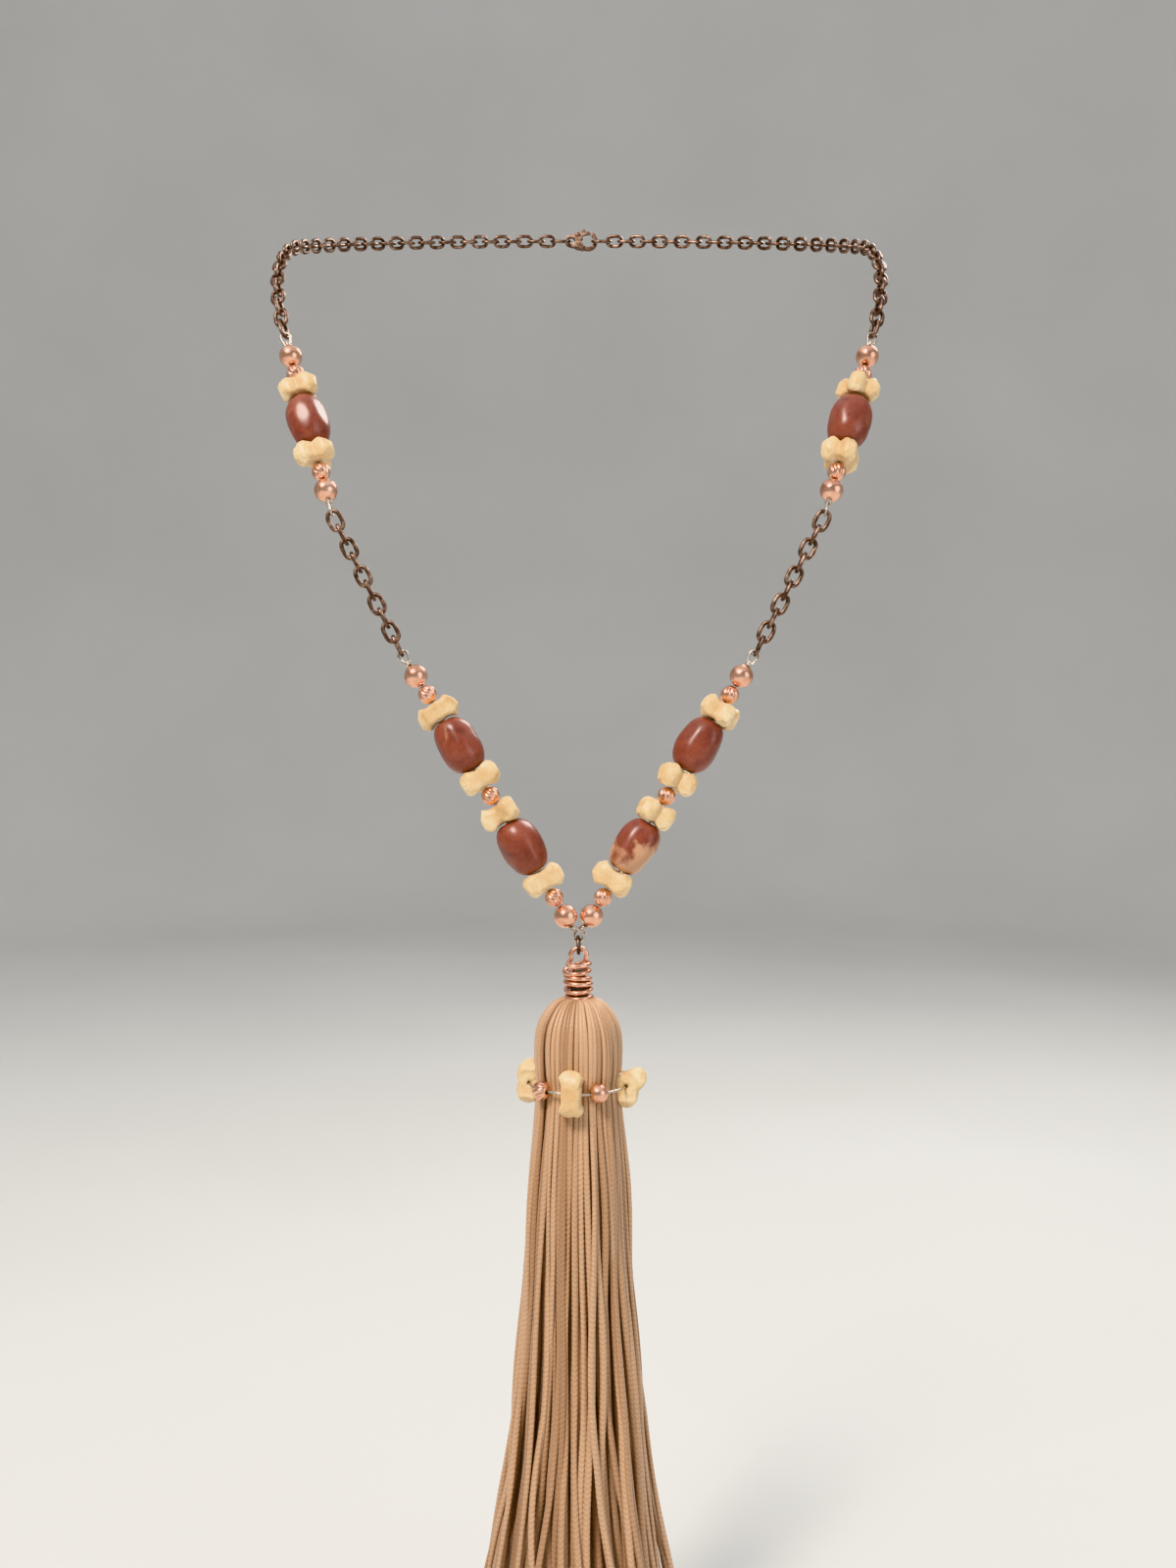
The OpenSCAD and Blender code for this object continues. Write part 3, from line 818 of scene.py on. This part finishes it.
def thread_path(turn, share, seed, step, rng):
    """A thread from under the wraps, over the dome, through the band and down to the hem."""
    cut = rng.uniform(-1.2, 2.6)            # how much too short for the hem it is
    drift = rng.uniform(-0.05, 0.05)
    line = rounded_path([(share * r if r > 3 else r * (0.45 + 0.55 * share), 0, z)
                         for z, r in PROFILE], step)
    line = line[line[:, 2] > HEM_Z + cut]
    r, z = line[:, 0].copy(), line[:, 2]
    free = np.clip((BAND_Z - 3 - z) / 95, 0, 1)     # how loose it is, under the band
    near = np.clip((TOP - 2 - z) / 12, 0, 1)        # and over the head
    a = turn + drift * free + wander(z, seed, 0.022) * (0.035 * near + 0.10 * free)
    r += wander(z, seed + 50, 0.03) * (0.25 * near + 1.1 * free)
    return np.column_stack([AXIS[0] + r * np.cos(a), AXIS[1] + r * np.sin(a), z]), r


def thread_frames(path, tangents, run, seed):
    """Outward and sideways directions of a flat thread, which rolls a little on its way down."""
    out = np.column_stack([path[:, :2] - AXIS, np.zeros(len(path))])
    out /= np.linalg.norm(out, axis=1)[:, None]
    out -= tangents * np.sum(out * tangents, axis=1)[:, None]
    out /= np.linalg.norm(out, axis=1)[:, None]
    side = np.cross(out, tangents)
    roll = (wander(run, seed + 90, 0.03) * 0.9 * np.clip(run / 40, 0, 1))[:, None]
    return out * np.cos(roll) + side * np.sin(roll), side * np.cos(roll) - out * np.sin(roll)


def add_thread(shape, turn, share, seed, step, sides, count, rng):
    """Adds one flat knitted thread, pressed narrower where count of them share less room."""
    path, r = thread_path(turn, share, seed, step, rng)
    start = rng.uniform(0, STITCH)
    n = len(path)
    tangents = np.gradient(path, axis=0)
    length = np.linalg.norm(tangents, axis=1)
    tangents /= length[:, None]
    run = np.cumsum(length)
    out, side = thread_frames(path, tangents, run, seed)
    room = np.clip(CROWDING * TAU * r / count, THINNEST, THREAD_W)
    wide = room / 2 * (1 + 0.05 * wander(run, seed + 30, 0.1))
    thick = THREAD_T / 2 * (0.7 + 0.3 * room / THREAD_W)
    wide[-1] *= THREAD_TIP
    thick[-1] *= THREAD_TIP
    b = np.linspace(0, TAU, sides, endpoint=False)[None, :]
    across = np.cos(b) + 0 * run[:, None]
    loop = np.sin((run + start)[:, None] * TAU / STITCH + STITCH_SLANT * np.abs(across))
    below = np.clip((BAND_Z - path[:, 2]) / KNIT_OVER, 0, 1)
    knit = PRESSED_KNIT + (1 - PRESSED_KNIT) * below
    relief = 1 + STITCH_RELIEF * loop * knit[:, None]
    groove = 1 - GROOVE_DEEP * np.exp(-(across / GROOVE_WIDE) ** 2)
    x = wide[:, None] * np.cos(b) * relief
    y = thick[:, None] * np.sin(b) * relief * groove
    points = path[:, None, :] + side[:, None, :] * x[..., None] + out[:, None, :] * y[..., None]
    tone = rng.random()
    shape.add(points, capped(n, sides), along=np.repeat(run + start, sides), across=across,
              tone=np.full(n * sides, tone), knit=np.repeat(knit, sides))


LAYERS = [                  # name, threads, share of the outer radius, step, sides, pieces
    ("outer", 54, 0.93, 0.30, 10, 4),
    ("under", 40, 0.80, 0.45, 8, 1),
    ("inner", 26, 0.60, 1.2, 6, 1),
    ("heart", 14, 0.34, 1.6, 6, 1),
]


def make_tassel():
    """Four layers of threads, each of which runs from under the wraps over the head and down to the
    hem.
    """
    seed = 0
    for label, count, share, step, sides, parts in LAYERS:
        rng = random.Random(len(label) * 13 + count)
        shapes = [Shape() for _ in range(parts)]
        for k in range(count):
            seed += 1
            turn = TAU * (k + rng.uniform(-0.16, 0.16)) / count
            add_thread(shapes[k * parts // count], turn, share * rng.uniform(0.975, 1.02), seed,
                       step, sides, count, rng)
        for i, shape in enumerate(shapes):
            made = new_piece(f"tassel_threads_{label}_{i + 1}", shape, THREAD, None,
                             ["tassel_head", "tassel_skirt"])
            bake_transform(made)


def band_way(middle):
    """Direction of the band wire where it passes a point."""
    return unit(np.cross([0, 0, 1], [middle[0] - AXIS[0], middle[1] - AXIS[1], 0]))


BAND_LOBES = (2, 2, 3, 3)
BAND_TURNS = (1.62, 1.5, 1.35, 0.3)     # of its chips on the wire, radians


def make_band():
    """The wire round the tassel, with its chips and beads by turns."""
    low, high = node_box("band_wire")
    r = (high[0] - low[0]) / 2 - WIRE_R
    a = np.linspace(0, TAU, 120, endpoint=False)
    sag = 0.11 * np.sin(2 * a + 0.6) + 0.05 * np.sin(5 * a)
    path = np.column_stack([AXIS[0] + r * np.cos(a), AXIS[1] + r * np.sin(a), BAND_Z + sag])
    new_piece("band_wire_line", tube(Shape(), path, WIRE_R, 10, closed=True), WIRE, "tassel",
              ["band_wire"])
    for n, (lobes, turn) in enumerate(zip(BAND_LOBES, BAND_TURNS), 1):
        node = f"band_chip_{n}"
        middle = node_middle(node)
        form, faces, hollow = chip_form(lobes, 60 + n)
        radial = math.hypot(*(middle[:2] - AXIS))
        at = np.append(AXIS + (middle[:2] - AXIS) * (r / radial), BAND_Z)
        shape = Shape().add(placed(form, at, band_way(middle), turn), faces, hollow=hollow)
        new_piece(node + "_stone", shape, CREAM, "tassel", [node])
        node = f"band_bead_{n}"
        make_small_beads(node, "tassel", fluted_bead_form if n % 2 else round_bead_form,
                         node + "_ball", band_way)


# ---- clasp ----
CAST_GRAIN, SPRING_GRAIN = 0.09, 0.05       # sizes of the remeshing


def make_clasp(node, body, grain):
    """The CAD piece with its edges worn round."""
    source = frame["nodes"][node]
    mesh = source.data.copy()
    mesh.materials.clear()
    mesh.materials.append(DARK)
    piece = bpy.data.objects.new(node + "_cast", mesh)
    bpy.context.scene.collection.objects.link(piece)
    remesh = piece.modifiers.new("even", "REMESH")
    remesh.mode, remesh.voxel_size, remesh.use_smooth_shade = "VOXEL", grain * MM, True
    soften = piece.modifiers.new("soften", "SMOOTH")
    soften.factor, soften.iterations = 0.5, 4
    bpy.context.view_layer.update()
    shown = piece.evaluated_get(bpy.context.evaluated_depsgraph_get())
    piece.data = bpy.data.meshes.new_from_object(shown)
    piece.modifiers.clear()
    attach(piece, body)
    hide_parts(node)


# ---- build ----
for side in ("left", "right"):
    make_chain(f"back_chain_{side}", "neck")
    make_chain(f"front_chain_{side}", "front_chains")
    for part in ("upper", "lower"):
        make_station_wire(part, side)
        way = spin_of(f"{part}_{side}_jasper_1")[1]
        body = f"{part}_stations"
        make_small_beads(f"{part}_{side}_round_beads", body, round_bead_form,
                         f"{part}_{side}_balls", lambda _, way=way: way)
        make_small_beads(f"{part}_{side}_fluted_beads", body, fluted_bead_form,
                         f"{part}_{side}_fluted", lambda _, way=way: way)
    node = f"lower_{side}_middle_bead"
    make_small_beads(node, node, fluted_bead_form, node + "_fluted",
                     lambda _, node=node: spin_of(node)[1])
make_stones()
make_centre_ring()
make_tassel_wire()
make_core()
make_tassel()
make_band()
for node in ("clasp_ring", "clasp_body", "end_ring", "clasp_rivet"):
    make_clasp(node, "neck", CAST_GRAIN)
make_clasp("clasp_lever", "clasp_lever", CAST_GRAIN)
make_clasp("clasp_spring", "neck", SPRING_GRAIN)


# ---- surroundings, light and camera ----
FLOOR_Z = -0.335                                # metres, as are all sizes from here on
FLAT_R, SWEEP_R, WALL_TOP = 1.5, 0.6, 2.2
SWEEP_STEPS = 12


def make_backdrop():
    """A round floor that sweeps up into a low wall on every side."""
    profile = [(0.001, 0.0), (FLAT_R / 2, 0.0)]
    for k in range(SWEEP_STEPS + 1):
        t = math.pi / 2 * k / SWEEP_STEPS
        profile.append((FLAT_R + SWEEP_R * math.sin(t), SWEEP_R * (1 - math.cos(t))))
    profile.append((FLAT_R + SWEEP_R, WALL_TOP))
    a = np.linspace(0, TAU, 96, endpoint=False)
    points = [(r * math.cos(t), r * math.sin(t), FLOOR_Z + z) for r, z in profile for t in a]
    mesh = bpy.data.meshes.new("backdrop")
    mesh.from_pydata(points, [], grid_faces(len(profile), len(a)))
    mesh.materials.append(pale_wall())
    mesh.polygons.foreach_set("use_smooth", [True] * len(mesh.polygons))
    wall = bpy.data.objects.new("backdrop", mesh)
    bpy.context.scene.collection.objects.link(wall)


def add_light(name, place, aim, size, power, colour):
    """A round soft light, size across, of power watts."""
    light = bpy.data.lights.new(name, "AREA")
    light.shape, light.size, light.energy, light.color = "DISK", size, power, colour
    lamp = bpy.data.objects.new(name, light)
    bpy.context.scene.collection.objects.link(lamp)
    lamp.location = place
    lamp.rotation_euler = (Vector(aim) - Vector(place)).to_track_quat("-Z", "Y").to_euler()


make_backdrop()
MIDDLE = (0, -0.03, -0.14)      # the lights aim at the middle of the necklace
add_light("key", (-0.36, -0.62, 0.55), MIDDLE, 0.30, 9.5, (1.0, 0.93, 0.84))
add_light("fill", (0.8, -0.7, 0.05), MIDDLE, 0.7, 2.5, (0.93, 0.96, 1.0))
add_light("rim", (0.35, 0.45, 0.45), MIDDLE, 0.35, 4.0, (1.0, 0.97, 0.92))
world = bpy.data.worlds.new("soft room")
world.use_nodes = True
world.node_tree.nodes["Background"].inputs["Color"].default_value = (0.90, 0.91, 0.93, 1.0)
world.node_tree.nodes["Background"].inputs["Strength"].default_value = 0.85
scene = bpy.context.scene
scene.world = world
scene.view_settings.view_transform = "Khronos PBR Neutral"

lens = bpy.data.cameras.new("camera")
lens.sensor_fit, lens.sensor_height, lens.lens = "VERTICAL", 36.0, 29.7
lens.clip_start, lens.clip_end = 0.01, 20.0
camera = bpy.data.objects.new("camera", lens)
scene.collection.objects.link(camera)
camera.location = (0.002, -0.3159, -0.1311)
camera.rotation_euler = (math.pi / 2, 0, 0)
scene.camera = camera
